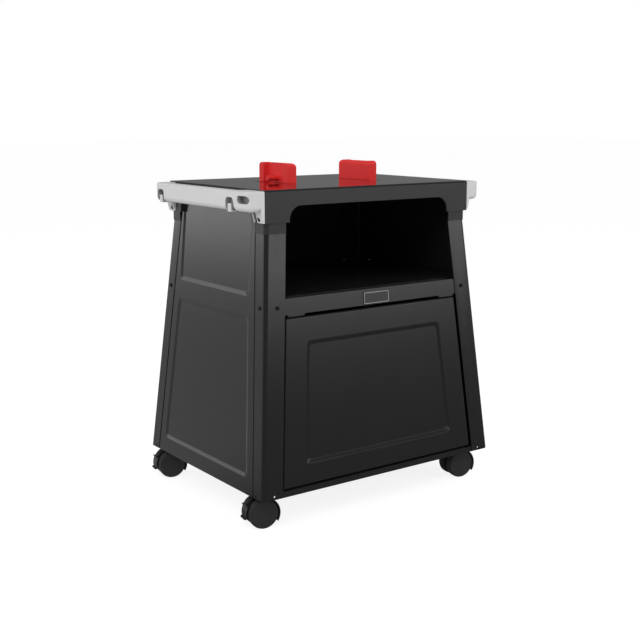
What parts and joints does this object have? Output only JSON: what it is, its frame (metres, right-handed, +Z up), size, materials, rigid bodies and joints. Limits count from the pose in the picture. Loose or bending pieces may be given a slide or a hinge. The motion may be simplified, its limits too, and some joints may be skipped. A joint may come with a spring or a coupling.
{
  "type": "grill cart",
  "caption": "Four-wheeled grill cart with an open compartment under a glossy top, a lower cupboard with a drop-down door, side handles and grill locks.",
  "frame": {"origin": "on the floor, at the middle of the whole cart's bounding box; the cart's own middle lies 8.75 mm towards +X, because the casters trail towards -X", "axes": "+X to the right of someone who faces the open front, +Y to the back, +Z up"},
  "size_m": [0.6579, 0.4952, 0.7489],
  "materials": {
    "black_steel": "semi-gloss black",
    "cooking_top": "high-gloss black enamel",
    "frame_plastic": "semi-gloss black",
    "handle_plastic": "fine-grained light grey",
    "lock_red": "satin red",
    "fastener": "dark zinc",
    "bright_steel": "zinc plated",
    "caster_plastic": "moulded black",
    "wheel_plastic": "moulded black",
    "badge": "bare black field with a pale edge"
  },
  "bodies": {
    "cart": {"back_panel": "black_steel", "back_rail": "black_steel", "badge_plate": "badge", "base_tray": "black_steel", "caster_bracket_back_left": "black_steel", "caster_bracket_back_right": "black_steel", "caster_bracket_front_left": "black_steel", "caster_bracket_front_right": "black_steel", "caster_stems": "bright_steel", "door_catch": "caster_plastic", "door_hinge_bracket_left": "bright_steel", "door_hinge_bracket_right": "bright_steel", "door_hinge_pins": "bright_steel", "front_rail": "black_steel", "handle_left": "handle_plastic", "handle_right": "handle_plastic", "handle_screws": "fastener", "leg_back_left": "black_steel", "leg_back_right": "black_steel", "leg_front_left": "black_steel", "leg_front_right": "black_steel", "middle_shelf": "black_steel", "plate_stiffener_left": "black_steel", "plate_stiffener_right": "black_steel", "rail_screws": "fastener", "side_panel_left": "black_steel", "side_panel_right": "black_steel", "side_rail_left": "black_steel", "side_rail_right": "black_steel", "top_frame": "frame_plastic", "top_plate": "cooking_top"},
    "door": {"door": "black_steel"},
    "lock_left": {"lock_left": "lock_red", "lock_shoe_left": "bright_steel"},
    "lock_right": {"lock_right": "lock_red", "lock_shoe_right": "bright_steel"},
    "swivel_front_left": {"caster_hood_front_left": "caster_plastic", "caster_axle_front_left": "bright_steel"},
    "wheels_front_left": {"caster_wheels_front_left": "wheel_plastic"},
    "swivel_front_right": {"caster_hood_front_right": "caster_plastic", "caster_axle_front_right": "bright_steel"},
    "wheels_front_right": {"caster_wheels_front_right": "wheel_plastic"},
    "swivel_back_left": {"caster_hood_back_left": "caster_plastic", "caster_axle_back_left": "bright_steel"},
    "wheels_back_left": {"caster_wheels_back_left": "wheel_plastic"},
    "swivel_back_right": {"caster_hood_back_right": "caster_plastic", "caster_axle_back_right": "bright_steel"},
    "wheels_back_right": {"caster_wheels_back_right": "wheel_plastic"},
    "brake_front_left": {"brake_lever_front_left": "caster_plastic"},
    "brake_back_left": {"brake_lever_back_left": "caster_plastic"}
  },
  "joints": [
    {"name": "door_hinge", "type": "hinge", "parent": "cart", "child": "door", "pos_m": [0.00875, -0.2371, 0.09017], "axis": [1, 0, 0], "range_deg": [0, 95]},
    {"name": "lock_slide_left", "type": "slide", "parent": "cart", "child": "lock_left", "axis": [-1, 0, 0], "range_m": [0, 0.012]},
    {"name": "lock_slide_right", "type": "slide", "parent": "cart", "child": "lock_right", "axis": [1, 0, 0], "range_m": [0, 0.012]},
    {"name": "caster_swivel_front_left", "type": "hinge", "parent": "cart", "child": "swivel_front_left", "pos_m": [-0.27125, -0.201, 0.06], "axis": [0, 0, 1], "continuous": true},
    {"name": "wheel_spin_front_left", "type": "hinge", "parent": "swivel_front_left", "child": "wheels_front_left", "pos_m": [-0.28701, -0.19822, 0.0325], "axis": [0.1736, 0.9848, 0], "continuous": true},
    {"name": "brake_lever_front_left", "type": "hinge", "parent": "swivel_front_left", "child": "brake_front_left", "pos_m": [-0.31409, -0.19345, 0.0325], "axis": [0.1736, 0.9848, 0], "range_deg": [0, 8]},
    {"name": "caster_swivel_front_right", "type": "hinge", "parent": "cart", "child": "swivel_front_right", "pos_m": [0.28875, -0.201, 0.06], "axis": [0, 0, 1], "continuous": true},
    {"name": "wheel_spin_front_right", "type": "hinge", "parent": "swivel_front_right", "child": "wheels_front_right", "pos_m": [0.27299, -0.19822, 0.0325], "axis": [0.1736, 0.9848, 0], "continuous": true},
    {"name": "caster_swivel_back_left", "type": "hinge", "parent": "cart", "child": "swivel_back_left", "pos_m": [-0.27125, 0.201, 0.06], "axis": [0, 0, 1], "continuous": true},
    {"name": "wheel_spin_back_left", "type": "hinge", "parent": "swivel_back_left", "child": "wheels_back_left", "pos_m": [-0.28701, 0.20378, 0.0325], "axis": [0.1736, 0.9848, 0], "continuous": true},
    {"name": "brake_lever_back_left", "type": "hinge", "parent": "swivel_back_left", "child": "brake_back_left", "pos_m": [-0.31409, 0.20855, 0.0325], "axis": [0.1736, 0.9848, 0], "range_deg": [0, 8]},
    {"name": "caster_swivel_back_right", "type": "hinge", "parent": "cart", "child": "swivel_back_right", "pos_m": [0.28875, 0.201, 0.06], "axis": [0, 0, 1], "continuous": true},
    {"name": "wheel_spin_back_right", "type": "hinge", "parent": "swivel_back_right", "child": "wheels_back_right", "pos_m": [0.27299, 0.20378, 0.0325], "axis": [0.1736, 0.9848, 0], "continuous": true}
  ]
}
